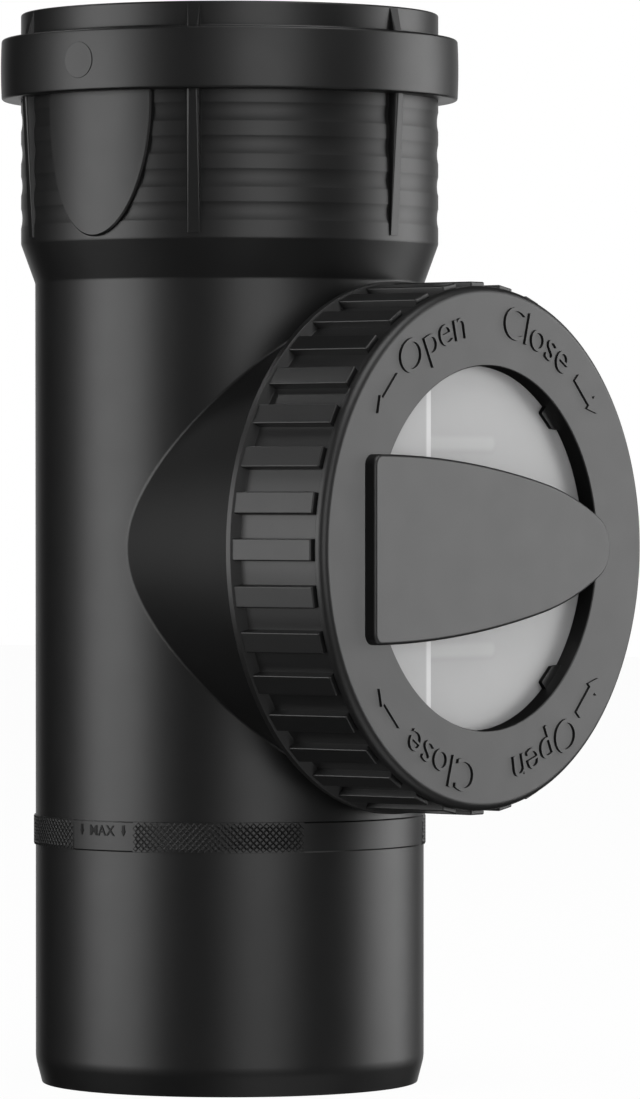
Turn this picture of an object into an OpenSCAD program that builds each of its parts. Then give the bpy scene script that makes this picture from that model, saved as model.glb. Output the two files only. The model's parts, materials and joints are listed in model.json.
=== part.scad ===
// Pipe cleanout for a push-fit waste pipe: an upright pipe with a socket on top, a spigot below
// and a side branch that a screw cap with a window closes.
// The origin is the middle of the spigot's end face. +Z runs up the pipe and the branch points to -Y.

/* [Pipe] */
// Outside diameter of the pipe and of its spigot
pipe_od = 110; // [105:0.5:116]
// Wall of the pipe
pipe_wall = 3.4; // [2.8:0.1:4]
// Height from the spigot end to the rim of the socket
total_h = 302; // [298:1:330]
// Height of the chamfer on the spigot end
chamfer_h = 6.9; // [4:0.1:9]
// How far that chamfer draws the spigot end in
chamfer_in = 1.8; // [1:0.1:2.2]

/* [Insertion band] */
// Height of the band's lower edge, which is how deep the spigot goes into a socket
band_z = 67.4; // [60:0.2:75]
// Height of the band itself
band_h = 8.1; // [5:0.1:10]
// How far the band stands proud of the pipe
band_proud = 0.25; // [0.15:0.05:0.6]
// How much the band and the barrel above it widen upwards, in radius, as mould draft
mould_draft = 0.1; // [0.05:0.01:0.2]

/* [Socket] */
// Depth of the socket from its rim to its seat
socket_depth = 65; // [60:0.5:68]
// Radial room between a pipe and the socket wall
socket_room = 0.5; // [0.3:0.05:0.8]
// Wall of the socket
socket_wall = 3.6; // [3:0.1:4.5]
// Height of the cone that widens the pipe to the socket
cone_h = 11; // [8:0.5:14]
// Height of the lip above the seal chamber
lip_h = 7.5; // [6:0.1:9]
// Height of the seal chamber's ring
ring_h = 16.5; // [15.5:0.1:18]
// Wall of the seal chamber's ring
ring_wall = 4.2; // [3:0.1:5]
// How far the middle of the ring bulges
ring_bulge = 0.35; // [0.1:0.05:0.6]
// Width of the groove that holds the seal
groove_w = 9.4; // [8:0.1:10.5]
// Depth of the groove that holds the seal
groove_depth = 5.1; // [4:0.1:6]

/* [Socket relief] */
// Number of shallow hollows round the socket
hollow_count = 4; // [1:1:4]
// Distance from the ring down to the middle of the first hollow
hollow_start = 6.7; // [5:0.1:8]
// Distance from one hollow to the next
hollow_pitch = 9.1; // [8:0.1:9.3]
// Width of a hollow
hollow_w = 4.3; // [3:0.1:5]
// Depth of a hollow
hollow_depth = 0.4; // [0.2:0.05:0.6]
// Number of upright ribs
rib_count = 6; // [3:1:8]
// Width of a rib's flat front
rib_w = 2.8; // [2:0.1:4]
// How far a rib stands out under the ring
rib_rise = 2.6; // [1.5:0.1:3]
// How far a rib stands out above the ring
rib_tip_rise = 1.9; // [1:0.1:2.5]
// Sideways spread of a rib's flanks for each millimetre it stands out
rib_draft = 0.3; // [0.1:0.05:0.5]
// Half the angle that the smooth marking tongue covers
tongue_angle = 19; // [12:0.5:22]
// Height of the tongue below the ring
tongue_h = 40; // [30:0.5:40]
// How far the tongue stands proud
tongue_proud = 1.2; // [0.6:0.1:1.8]
// Radius of the round flat mark on the ring
mark_r = 5; // [3:0.1:6]
// How far the round mark stands proud of the ring
mark_proud = 0.05; // [0.02:0.01:0.2]

/* [Branch] */
// Height of the branch axis above the spigot end
branch_z = 151.5; // [150:0.5:160]
// How much smaller than the pipe the neck cone starts, in radius
neck_inset = 2.7; // [2:0.1:4]
// Half angle of the neck cone
neck_angle = 14.6; // [13.5:0.1:15.5]
// Wall of the neck
neck_wall = 4.2; // [3.5:0.1:4.6]
// Distance from the front of the pipe to the shoulder where the neck ends
shoulder_gap = 3.7; // [3:0.1:7]
// Length of the threaded collar in front of the shoulder
collar_len = 25.4; // [24:0.1:30]
// How much wider than the pipe the collar's bore is, in radius
collar_over = 7.4; // [6.5:0.1:8.5]
// Wall of the collar under its thread
collar_wall = 4.4; // [3.8:0.1:5]

/* [Thread] */
// Pitch of the screw thread
thread_pitch = 6; // [5.6:0.1:7]
// Height of the thread on the collar
thread_h = 1.8; // [1.4:0.1:2]
// Width of a thread ridge at its foot
thread_foot = 3; // [2.4:0.1:3.1]
// Width of a thread ridge at its crest
thread_crest = 1.4; // [1:0.1:1.8]
// Radial room between the two threads
thread_room = 0.8; // [0.6:0.1:1]

/* [Cap] */
// Wall of the cap's skirt
skirt_wall = 1.8; // [1.6:0.1:2.6]
// Gap between the neck's shoulder and the back of the cap
cap_gap = 0.8; // [0.5:0.1:2]
// Thickness of the face at the window's rim
face_t = 5.1; // [4.5:0.1:6]
// Thickness of the face between the window's rim and the skirt
face_web = 3.2; // [2.4:0.1:4]
// Radius of the rounded edge of the face
face_round = 3.4; // [2:0.1:3.8]
// How far that edge stands out from the skirt, as a bead
bead_rise = 0.8; // [0.3:0.1:1.2]
// How far the rear flange stands out from the skirt
flange_rise = 2.8; // [2.4:0.1:3.5]
// Thickness of the rear flange
flange_t = 2; // [1.5:0.1:3]
// Number of grip pads
pad_count = 36; // [24:1:40]
// Width of a grip pad
pad_w = 6; // [4:0.1:6.5]
// How far a pad stands out from the skirt
pad_rise = 2.2; // [1:0.1:2.4]
// Distance from the front of the face back to the pads
pad_back = 4; // [3.9:0.1:6]
// Width of the face, from the outside of its rounded edge to the window
face_w = 21.8; // [20.5:0.1:23]
// Width of the rim round the window
window_rim = 3.4; // [2.5:0.1:5]
// Number of lugs on the window's edge
lug_count = 4; // [2:1:6]
// Width of a lug
lug_w = 8.4; // [5:0.1:9]
// How far a lug reaches in
lug_reach = 2.6; // [2:0.1:3.5]
// Thickness of a lug at its tip
lug_t = 1.2; // [0.8:0.1:1.6]

/* [Grip bar] */
// How far the bar's square end reaches past the window's edge
bar_end_over = 4.3; // [3.6:0.1:9]
// How far the bar's rounded tip reaches past the window's edge
bar_tip_over = 6.3; // [3.8:0.1:9]
// Half the height of the bar's square end
bar_half = 25.7; // [22:0.1:28]
// Radius of the bar's tip
bar_tip_r = 9.5; // [8:0.1:12]
// Angle from the bar's axis at which the tip's arc ends
bar_tip_turn = 62; // [58:1:66]
// Radius of the bend that follows the tip
bar_bend_r = 100; // [80:1:115]
// Radius of the bar's two corners
bar_corner = 3.1; // [1:0.1:4]
// How far the square end stands out from the face
bar_rise = 3.6; // [3:0.1:7]
// Wall of the hollow bar
bar_wall = 2.8; // [2.2:0.1:3.4]

/* [Window plug] */
// Thickness of the window disc
disc_t = 2.9; // [2.4:0.1:4]
// Length of the skirt that enters the branch
plug_skirt = 16; // [14:0.5:22]
// Wall of that skirt
plug_wall = 2.4; // [2:0.1:3]
// Room between that skirt and the branch bore
plug_room = 0.5; // [0.3:0.05:0.8]
// Distance from the collar's rim to the middle of the plug's seal
plug_seal_h = 8.6; // [7:0.1:9.5]
// Cord radius of the plug's seal
cord_r = 1.75; // [1.4:0.05:1.9]
// Distance from the cap axis to the upright rib behind the window
spine_x = 19.8; // [12:0.1:26]
// Width of the upright rib
spine_w = 1.9; // [1:0.1:3]
// Height above the axis of the level ribs behind the window
level_rib_z = 28.4; // [20:0.1:34]
// Width of a level rib
level_rib_w = 4; // [2:0.1:6]
// Length of a level rib
level_rib_len = 29.7; // [15:0.1:34]
// How far the ribs stand out behind the window
plug_rib_t = 1; // [0.5:0.1:2]

/* [Hidden] */
$fn = 96;
eps = 0.01;

// Radii of the pipe and the socket
pipe_r = pipe_od / 2;
bore_r = pipe_r - pipe_wall;
socket_r = pipe_r + socket_room;
socket_out = socket_r + socket_wall;
groove_r = socket_r + groove_depth;
ring_r = groove_r + ring_wall;
mouth_lead = 1.3;
rim_edge = 0.6;

// Heights on the pipe and the socket
socket_z = total_h - socket_depth;
ring_top = total_h - lip_h;
ring_foot = ring_top - ring_h;
groove_z = (ring_top + ring_foot) / 2;
seat_h = 6;
hollow_z = ring_foot - hollow_start;
ring_edge = 1.1;
rib_foot_gap = 1.3;

// Radii of the branch and the cap, each from the one before
neck_r = pipe_r - neck_inset;
collar_bore = pipe_r + collar_over;
collar_r = collar_bore + collar_wall;
cap_root_r = collar_r + thread_h + thread_room;
cap_crest_r = collar_r + thread_room;
skirt_r = cap_root_r + skirt_wall;
rim_r = skirt_r + bead_rise;
window_r = rim_r - face_w;
flange_step = 0.6;
ledge_room = 0.3;
ledge_t = 1.2;
disc_room = 0.4;
seat_r = cap_crest_r + 1.1;
disc_r = seat_r - disc_room;

// Distances from the pipe axis along the branch
shoulder_h = pipe_r + shoulder_gap;
cap_back = shoulder_h + cap_gap;
rim_h = shoulder_h + collar_len;
disc_front = rim_h + disc_t;
face_gap = 0.1;
face_back = disc_front + face_gap;
cap_front = face_back + face_t;
ledge_top = rim_h - ledge_room;
ledge_foot = ledge_top - ledge_t;
bar_foot = face_back + 0.5;
bar_tip_rise = 0.3;
bar_left = window_r + bar_end_over;
bar_tip = window_r + bar_tip_over;

// Thread runs, in steps of one cross-section each
turn_steps = 40;
thread_margin = 0.4;
collar_thread_start = shoulder_h + thread_foot / 2 + 1.8;
collar_thread_end = ledge_foot - thread_margin - thread_foot / 2;
collar_thread_steps = floor(turn_steps * (collar_thread_end - collar_thread_start) / thread_pitch);
cap_thread_start = collar_thread_start + thread_pitch / 2;
cap_thread_end = ledge_foot - thread_foot / 2;
cap_thread_steps = floor(turn_steps * (cap_thread_end - cap_thread_start) / thread_pitch);
runout_steps = 8;
runout_depth = 0.3;
thread_sink = 0.3;

// The bar's outline: a long arc, a bend and the tip's arc, which meet without a kink
bar_arc_x = bar_corner - bar_left;
tip_x = bar_tip - bar_tip_r;
bend_x = tip_x - (bar_bend_r - bar_tip_r) * cos(bar_tip_turn);
bend_z = -(bar_bend_r - bar_tip_r) * sin(bar_tip_turn);
bend_rise = bar_half - bend_z;
bend_span = pow(bend_x - bar_arc_x, 2) + pow(bend_rise, 2) - pow(bar_bend_r, 2);
bar_arc_r = bend_span / (2 * (bend_rise - bar_bend_r));
bar_arc_z = bar_half - bar_arc_r;
bar_meet = atan2(bend_z - bar_arc_z, bend_x - bar_arc_x);

// The plug's skirt and the groove for its seal
plug_r = collar_bore - plug_room;
plug_in_r = plug_r - plug_wall;
seal_h = rim_h - plug_seal_h;
seal_fit = 0.15;
seal_slack = 0.05;
seal_mid_r = collar_bore - seal_fit - cord_r;
groove_foot_r = seal_mid_r - cord_r - seal_slack;
groove_half = cord_r + 0.3;

// Turns a shape that stands on the XY plane so that it points out along the branch
module on_branch() {
    translate([0, 0, branch_z]) rotate([90, 0, 0]) children();
}

// A plate that stands on the pipe's axis plane, from an outline of radius and height
module upright_plate(width) {
    translate([0, width / 2, 0]) rotate([90, 0, 0]) linear_extrude(width) children();
}

function arc(x, y, r, from, to, steps) =
    [for (i = [0 : steps]) let (a = from + (to - from) * i / steps) [x + r * cos(a), y + r * sin(a)]];

function after_first(points) = [for (i = [1 : len(points) - 1]) points[i]];

function ring_side(t) = [ring_r - ring_bulge * t * t, groove_z + t * (ring_h / 2 - ring_edge)];

// Outside of the spigot, the pipe, the cone and the socket, with the bulged ring
module outer_shell() {
    rotate_extrude() polygon(concat(
        [[0, 0], [pipe_r - chamfer_in, 0], [pipe_r, chamfer_h]],
        [[pipe_r, band_z], [pipe_r + band_proud, band_z]],
        [[pipe_r + band_proud + mould_draft, band_z + band_h], [pipe_r, band_z + band_h]],
        [[pipe_r + mould_draft, socket_z - cone_h], [socket_out, socket_z], [socket_out, ring_foot]],
        [[ring_r - ring_bulge - ring_edge, ring_foot]],
        [for (i = [-4 : 4]) ring_side(i / 4)],
        [[ring_r - ring_bulge - ring_edge, ring_top], [socket_out, ring_top]],
        [[socket_out, total_h - rim_edge], [socket_out - rim_edge, total_h], [0, total_h]]
    ));
}

// Shallow hollows that ripple the socket wall
module socket_hollows() {
    hollow_r = (pow(hollow_w / 2, 2) + pow(hollow_depth, 2)) / (2 * hollow_depth);
    for (i = [0 : hollow_count - 1])
        rotate_extrude()
            translate([socket_out - hollow_depth + hollow_r, hollow_z - i * hollow_pitch])
                circle(r = hollow_r);
}

// Water way, seat, socket bore, seal groove and mouth lead-in
module inner_space() {
    rotate_extrude() polygon([
        [0, -1], [bore_r, -1], [bore_r, socket_z - seat_h], [socket_r, socket_z],
        [socket_r, groove_z - groove_w / 2], [groove_r, groove_z - groove_w / 2],
        [groove_r, groove_z + groove_w / 2], [socket_r, groove_z + groove_w / 2],
        [socket_r, total_h - 2 * mouth_lead], [socket_r + mouth_lead, total_h],
        [socket_r + mouth_lead, total_h + 1], [0, total_h + 1]
    ]);
}

// A rib with drafted flanks, whose front leans from one rise at its foot to another at its head
module rib(foot_z, foot_rise, head_z, head_rise) {
    sunk = 1;
    front = rib_w / 2;
    ends = [[foot_z, foot_rise], [head_z, head_rise]];
    corners = [for (e = ends) let (back = front + rib_draft * (e[1] + sunk))
        for (p = [[-sunk, -back], [e[1], -front], [e[1], front], [-sunk, back]])
            [socket_out + p[0], p[1], e[0]]];
    sides = [for (j = [0 : 3]) let (k = (j + 1) % 4) [j, j + 4, k + 4, k]];
    polyhedron(corners, concat([[0, 1, 2, 3], [7, 6, 5, 4]], sides));
}

// Six ribs run through the ring: below it they rise from the wall, above it they fall back to the rim
module ribs() {
    least_rise = 0.1;
    for (i = [0 : rib_count - 1]) rotate([0, 0, -90 + i * 360 / rib_count]) {
        rib(socket_z + rib_foot_gap, least_rise, ring_foot + ring_edge, rib_rise);
        rib(ring_top - ring_edge, rib_tip_rise, total_h - rim_edge, least_rise);
    }
}

// Smooth tongue for marks, a half ellipse that hangs from the ring on the -X side
module tongue() {
    half_w = socket_out * sin(tongue_angle);
    straight = 2.5; // upright stretch of its sides, just under the ring
    intersection() {
        rotate_extrude() translate([socket_out - 1, ring_foot - tongue_h - 1])
            square([1 + tongue_proud, tongue_h + 2]);
        rotate([0, 0, 180]) rotate([90, 0, 90]) linear_extrude(ring_r) polygon(concat(
            [[half_w, ring_foot + 1], [-half_w, ring_foot + 1]],
            [for (i = [0 : 32]) let (a = 180 + 180 * i / 32)
                [half_w * cos(a), ring_foot - straight + (tongue_h - straight) * sin(a)]]
        ));
    }
}

module ring_mark() {
    reach = ring_r + mark_proud;
    translate([0, 0, groove_z]) rotate([0, -90, 0]) translate([0, 0, groove_r + 1])
        cylinder(h = reach - groove_r - 1, r = mark_r);
}

// One helical ridge, swept step by step, that runs out to a shallower depth at both ends
module thread_ridge(root, crest, start, steps) {
    corners = [for (i = [0 : steps])
        let (a = 360 * i / turn_steps, h = start + thread_pitch * i / turn_steps)
        let (depth = min(1, runout_depth + min(i, steps - i) / runout_steps))
        let (tip = root + (crest - root) * depth)
        for (p = [[root, -thread_foot], [tip, -thread_crest], [tip, thread_crest], [root, thread_foot]])
            [p[0] * cos(a), p[0] * sin(a), h + p[1] / 2]];
    sides = [for (i = [0 : steps - 1]) for (j = [0 : 3])
        let (a = 4 * i + j, b = 4 * i + (j + 1) % 4)
        for (f = [[a, b, b + 4], [a, b + 4, a + 4]]) f];
    last = 4 * steps;
    ends = [[0, 1, 2], [0, 2, 3], [last + 3, last + 2, last + 1], [last + 3, last + 1, last]];
    inward = concat(ends, sides);
    polyhedron(corners, crest > root ? [for (f = inward) [f[2], f[1], f[0]]] : inward, convexity = 10);
}

module neck_and_collar() {
    lead = 0.8;
    sink = 2;
    on_branch() {
        cylinder(h = shoulder_h, r1 = neck_r, r2 = neck_r + shoulder_h * tan(neck_angle));
        translate([0, 0, shoulder_h - sink]) cylinder(h = collar_len - lead + sink, r = collar_r);
        translate([0, 0, rim_h - lead]) cylinder(h = lead, r1 = collar_r, r2 = collar_r - lead);
        thread_ridge(collar_r - thread_sink, collar_r + thread_h, collar_thread_start, collar_thread_steps);
    }
}

module branch_bore() {
    start_r = neck_r - neck_wall;
    taper_h = (collar_bore - start_r) / tan(neck_angle);
    on_branch() {
        cylinder(h = taper_h, r1 = start_r, r2 = collar_bore);
        translate([0, 0, taper_h - eps]) cylinder(h = rim_h - taper_h + 1, r = collar_bore);
    }
}

module fitting_body() {
    color("#1b1b1c") difference() {
        union() {
            difference() {
                outer_shell();
                socket_hollows();
            }
            ribs();
            tongue();
            ring_mark();
            neck_and_collar();
        }
        inner_space();
        branch_bore();
    }
}

// Lip seal in the socket's groove, drawn as a pipe in the socket presses it
module socket_seal() {
    slack = 0.1;
    foot = groove_z - groove_w / 2 + slack;
    head = groove_z + groove_w / 2 - slack;
    back = groove_r - slack;
    lip = socket_r + slack;
    heel = lip + 0.45 * (back - lip);
    lip_w = 3;
    lip_edge = 1.2;
    toe_w = 1.5;
    toe_edge = 0.5;
    color("#101010") rotate_extrude() polygon([
        [back, foot], [back, head], [lip + lip_edge, head], [lip, head - lip_edge], [lip, head - lip_w],
        [heel, head - lip_w - 0.8], [heel, foot + toe_w + 1.1], [lip, foot + toe_w],
        [lip, foot + toe_edge], [lip + toe_edge, foot]
    ]);
}

// Outline of the grip bar, drawn in from its edge by an inset
module bar_outline(inset) {
    corner = max(0.4, bar_corner - inset);
    corner_x = inset + corner - bar_left;
    top_r = bar_arc_r - inset;
    top_end = acos((corner_x - bar_arc_x) / top_r);
    corner_z = bar_arc_z + top_r * sin(top_end) - corner;
    top = concat(
        arc(tip_x, 0, bar_tip_r - inset, 0, bar_tip_turn, 8),
        after_first(arc(bend_x, bend_z, bar_bend_r - inset, bar_tip_turn, bar_meet, 5)),
        after_first(arc(bar_arc_x, bar_arc_z, top_r, bar_meet, top_end, 10)),
        after_first(arc(corner_x, corner_z, corner, 90, 180, 6))
    );
    bottom = [for (i = [len(top) - 1 : -1 : 1]) [top[i][0], -top[i][1]]];
    polygon(concat(top, bottom));
}

// Space under the bar's sloping top, which falls from the square end to the tip
module under_bar_top(drop) {
    past = 3;
    far = 2 * (bar_half + past);
    slope = (bar_rise - bar_tip_rise) / (bar_left + bar_tip);
    high = cap_front + bar_rise - drop;
    low = cap_front + bar_tip_rise - drop;
    translate([0, far / 2, 0]) rotate([90, 0, 0]) linear_extrude(far) polygon([
        [-bar_left - past, bar_foot - past], [bar_tip + past, bar_foot - past],
        [bar_tip + past, low - past * slope], [-bar_left - past, high + past * slope]
    ]);
}

module grip_bar() {
    difference() {
        intersection() {
            translate([0, 0, bar_foot]) linear_extrude(face_t + 2 * bar_rise) bar_outline(0);
            under_bar_top(0);
        }
        intersection() {
            translate([0, 0, bar_foot - 1]) linear_extrude(face_t + 2 * bar_rise) bar_outline(bar_wall);
            under_bar_top(bar_wall);
            cylinder(h = cap_front + 2 * bar_rise, r = window_r - bar_wall);
        }
    }
}

// Snap lugs at the back of the window's edge, each with a ramp in front
module lugs() {
    root = window_r + 1;
    tip = window_r - lug_reach;
    cut = lug_reach / 2;
    foot = face_back + 0.1;
    for (i = [0 : lug_count - 1]) rotate([0, 0, 45 + i * 360 / lug_count]) intersection() {
        translate([0, 0, foot]) linear_extrude(face_t) polygon([
            [root, -lug_w / 2], [tip + cut, -lug_w / 2], [tip, cut - lug_w / 2],
            [tip, lug_w / 2 - cut], [tip + cut, lug_w / 2], [root, lug_w / 2]
        ]);
        upright_plate(lug_w) polygon([
            [root, foot], [tip, foot], [tip, foot + lug_t], [root, foot + lug_t + 2.4]
        ]);
    }
}

// Section of the ring: flange, skirt, rounded face, window rim, pocket, seat and ledge for the disc
module cap_profile() {
    edge = 0.4;
    lead = 0.8;
    pocket_r = cap_crest_r - 1;
    polygon(concat(
        [[cap_root_r + lead, cap_back], [skirt_r + flange_rise - flange_step, cap_back]],
        [[skirt_r + flange_rise, cap_back + flange_step], [skirt_r + flange_rise, cap_back + flange_t]],
        [[skirt_r, cap_back + flange_t], [skirt_r, cap_front - face_round - bead_rise / 2]],
        arc(rim_r - face_round, cap_front - face_round, face_round, 0, 90, 8),
        [[window_r + edge, cap_front], [window_r, cap_front - edge], [window_r, face_back]],
        [[window_r + window_rim, face_back], [window_r + window_rim, cap_front - face_web]],
        [[pocket_r, cap_front - face_web], [pocket_r, face_back]],
        [[seat_r, face_back], [seat_r, ledge_top], [cap_crest_r, ledge_top], [cap_crest_r, ledge_foot]],
        [[cap_root_r, ledge_foot], [cap_root_r, cap_back + 1.5 * lead]]
    ));
}

module pads() {
    start = cap_back + flange_t - eps;
    for (i = [0 : pad_count - 1]) rotate([0, 0, i * 360 / pad_count])
        translate([skirt_r - 1, -pad_w / 2, start])
            cube([pad_rise + 1, pad_w, cap_front - pad_back - start]);
}

module cap_ring() {
    color("#222223") on_branch() {
        rotate_extrude() cap_profile();
        pads();
        grip_bar();
        lugs();
        thread_ridge(cap_root_r + thread_sink, cap_crest_r, cap_thread_start, cap_thread_steps);
    }
}

// Window disc with its flange, and a skirt that steps in behind the seal
module window_plug() {
    skirt_foot = rim_h - plug_skirt;
    step_r = groove_foot_r - plug_wall;
    edge = 1;
    groove_foot = seal_h - groove_half;
    groove_head = seal_h + groove_half;
    color("#a9aaab") on_branch() {
        rotate_extrude() polygon([
            [0, disc_front], [disc_r, disc_front], [disc_r, rim_h], [plug_r, rim_h],
            [plug_r, groove_head], [groove_foot_r, groove_head],
            [groove_foot_r, groove_foot], [plug_r, groove_foot],
            [plug_r, skirt_foot + edge], [plug_r - edge, skirt_foot], [plug_in_r, skirt_foot],
            [plug_in_r, skirt_foot + 1.5 * edge], [step_r, skirt_foot + 2.5 * edge],
            [step_r, groove_head + plug_wall], [plug_in_r, groove_head + plug_wall + edge],
            [plug_in_r, rim_h], [0, rim_h]
        ]);
        plug_ribs();
    }
}

// Ribs that show faintly through the window: one upright and two level with a round end
module plug_ribs() {
    upright_h = 2 * sqrt(pow(plug_in_r, 2) - pow(spine_x + spine_w, 2)) - 2;
    translate([0, 0, rim_h - plug_rib_t]) {
        translate([-spine_x - spine_w / 2, -upright_h / 2, 0]) cube([spine_w, upright_h, plug_rib_t + 1]);
        for (side = [-1, 1]) translate([-spine_x, side * level_rib_z, 0]) {
            translate([0, -level_rib_w / 2, 0])
                cube([level_rib_len - level_rib_w / 2, level_rib_w, plug_rib_t + 1]);
            translate([level_rib_len - level_rib_w / 2, 0, 0])
                cylinder(h = plug_rib_t + 1, r = level_rib_w / 2);
        }
    }
}

module plug_seal() {
    color("#0c0c0c") on_branch() translate([0, 0, seal_h])
        rotate_extrude() translate([seal_mid_r, 0]) circle(r = cord_r);
}

fitting_body();
socket_seal();
cap_ring();
window_plug();
plug_seal();
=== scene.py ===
import json
from math import acos, atan2, cos, pi, radians, sin, sqrt, tan

import bmesh
import bpy
from mathutils import Matrix, Vector


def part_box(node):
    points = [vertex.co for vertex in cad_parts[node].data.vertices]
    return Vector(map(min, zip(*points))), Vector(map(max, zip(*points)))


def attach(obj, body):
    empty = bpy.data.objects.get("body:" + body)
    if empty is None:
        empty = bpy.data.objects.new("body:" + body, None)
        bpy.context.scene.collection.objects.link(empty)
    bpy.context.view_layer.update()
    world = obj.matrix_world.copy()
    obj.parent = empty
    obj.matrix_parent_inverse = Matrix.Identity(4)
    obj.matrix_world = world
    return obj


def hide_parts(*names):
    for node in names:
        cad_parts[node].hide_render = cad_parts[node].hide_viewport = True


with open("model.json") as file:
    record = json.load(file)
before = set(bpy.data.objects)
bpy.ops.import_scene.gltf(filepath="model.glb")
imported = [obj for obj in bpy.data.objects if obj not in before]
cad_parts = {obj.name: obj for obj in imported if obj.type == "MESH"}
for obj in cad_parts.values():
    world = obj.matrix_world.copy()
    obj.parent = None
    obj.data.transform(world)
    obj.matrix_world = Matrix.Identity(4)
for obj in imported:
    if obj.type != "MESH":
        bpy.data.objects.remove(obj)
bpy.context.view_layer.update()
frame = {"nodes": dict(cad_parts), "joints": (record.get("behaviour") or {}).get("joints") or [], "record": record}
print("frame loaded:", ", ".join(sorted(frame["nodes"])))

mm = 0.001  # the dictionaries below are in millimetres, the scene is in metres
onAxis = 1e-6  # a ring of a lathed piece that is narrower than this is one point
mounts = {m["name"]: m for m in frame["record"]["mounts"]}
capTurn = next(j for j in frame["joints"] if j["name"] == "cap_turn")
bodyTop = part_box("fitting_body")[1].z / mm
branchZ = capTurn["pos_m"][2] / mm

upright = Matrix.Scale(mm, 4)
onBranch = Matrix.Scale(mm, 4) @ Matrix.Translation((0, 0, branchZ)) @ Matrix.Rotation(pi / 2, 4, "X")


# mesh helpers

def linked(name, mesh):
    piece = bpy.data.objects.new(name, mesh)
    bpy.context.scene.collection.objects.link(piece)
    return piece


def solid(name, points, faces, place):
    mesh = bpy.data.meshes.new(name)
    mesh.from_pydata([place @ Vector(p) for p in points], [], faces)
    tidy = bmesh.new()
    tidy.from_mesh(mesh)
    bmesh.ops.recalc_face_normals(tidy, faces=tidy.faces)
    tidy.to_mesh(mesh)
    tidy.free()
    return linked(name, mesh)


def arcPoints(centreX, centreY, radius, start, end, steps):
    angles = [start + (end - start) * i / steps for i in range(steps + 1)]
    return [(centreX + radius * cos(a), centreY + radius * sin(a)) for a in angles]


def rounded(corners, steps=6, share=0.48):
    # a closed outline of corners (x, y) or (x, y, radius), where an arc takes at most that share of a side
    path = []
    for i, corner in enumerate(corners):
        here = Vector(corner[:2])
        back = Vector(corners[i - 1][:2]) - here
        ahead = Vector(corners[(i + 1) % len(corners)][:2]) - here
        if len(corner) < 3:
            path.append(tuple(here))
            continue
        opening = back.angle(ahead)
        reach = min(corner[2] / tan(opening / 2), share * back.length, share * ahead.length)
        radius = reach * tan(opening / 2)
        centre = here + (back.normalized() + ahead.normalized()).normalized() * radius / sin(opening / 2)
        first = here + back.normalized() * reach - centre
        last = here + ahead.normalized() * reach - centre
        start = atan2(first.y, first.x)
        turn = (atan2(last.y, last.x) - start + pi) % (2 * pi) - pi
        path += arcPoints(centre.x, centre.y, radius, start, start + turn, steps)
    return path


def lathe(name, outline, place, steps=288):
    # turns a closed outline of (radius, height) about the height axis
    points, rings = [], []
    for radius, height in outline:
        count = 1 if radius < onAxis else steps
        rings.append([len(points) + i for i in range(count)])
        turns = [2 * pi * i / steps for i in range(count)]
        points += [(radius * cos(a), radius * sin(a), height) for a in turns]
    faces = []
    for low, high in zip(rings, rings[1:] + rings[:1]):
        if len(low) == len(high) == 1:
            continue
        for i in range(steps):
            j = (i + 1) % steps
            quad = [low[i % len(low)], low[j % len(low)], high[j % len(high)], high[i % len(high)]]
            faces.append(list(dict.fromkeys(quad)))
    return solid(name, points, faces, place)


def loft(name, rings, place, closed=False):
    # joins rings of equally many points; an open run of rings gets a face at each end
    count = len(rings[0])
    points = [p for ring in rings for p in ring]
    spans = len(rings) if closed else len(rings) - 1
    faces = []
    for s in range(spans):
        a, b = s * count, (s + 1) % len(rings) * count
        faces += [[a + i, a + (i + 1) % count, b + (i + 1) % count, b + i] for i in range(count)]
    if not closed:
        faces += [list(range(count)), list(range(len(points) - count, len(points)))]
    return solid(name, points, faces, place)


def prism(name, outline, low, high, place):
    return loft(name, [[(x, y, h) for x, y in outline] for h in (low, high)], place)


def joined(name, pieces):
    mesh = bmesh.new()
    for piece in pieces:
        mesh.from_mesh(piece.data)
        bpy.data.objects.remove(piece)
    data = bpy.data.meshes.new(name)
    mesh.to_mesh(data)
    mesh.free()
    return linked(name, data)


def settle(piece):
    # the modifiers' result becomes the piece's own mesh
    graph = bpy.context.evaluated_depsgraph_get()
    mesh = bpy.data.meshes.new_from_object(piece.evaluated_get(graph))
    piece.modifiers.clear()
    piece.data = mesh


def combine(piece, tool, how):
    cut = piece.modifiers.new(how, "BOOLEAN")
    cut.object, cut.operation, cut.solver = tool, how, "MANIFOLD"
    settle(piece)
    bpy.data.objects.remove(tool)


def finished(piece, body, material, sharpAngle=32):
    piece.data.shade_smooth()
    piece.data.set_sharp_from_angle(angle=radians(sharpAngle))
    even = piece.modifiers.new("even shading", "WEIGHTED_NORMAL")
    even.keep_sharp = True
    piece.data.materials.clear()
    piece.data.materials.append(material)
    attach(piece, body)
    print(piece.name, "done:", len(piece.data.polygons), "faces")
    return piece


# materials

skinPattern = dict(cloudScale=38, cloudStretch=0.35, cloudDetail=4, cloudRough=0.6,
                   patchScale=110, patchDetail=3, grainDetail=2)


def nodeMaker(tree):
    # makes a node; a value given for a socket is a number, or another node's output to link
    def make(kind, values=(), **settings):
        node = tree.nodes.new(kind)
        for key, value in settings.items():
            setattr(node, key, value)
        for socket, value in dict(values).items():
            if hasattr(value, "links"):
                tree.links.new(value, node.inputs[socket])
            else:
                node.inputs[socket].default_value = value
        return node
    return make


def newGroup(name, inputs, outputs):
    tree = bpy.data.node_groups.new(name, "ShaderNodeTree")
    for direction, sockets in (("INPUT", inputs), ("OUTPUT", outputs)):
        for title, kind, *value in sockets:
            socket = tree.interface.new_socket(title, in_out=direction, socket_type="NodeSocket" + kind)
            if value:
                socket.default_value = value[0]
    make = nodeMaker(tree)
    return tree, make, make("NodeGroupInput").outputs, make("NodeGroupOutput").inputs


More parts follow.
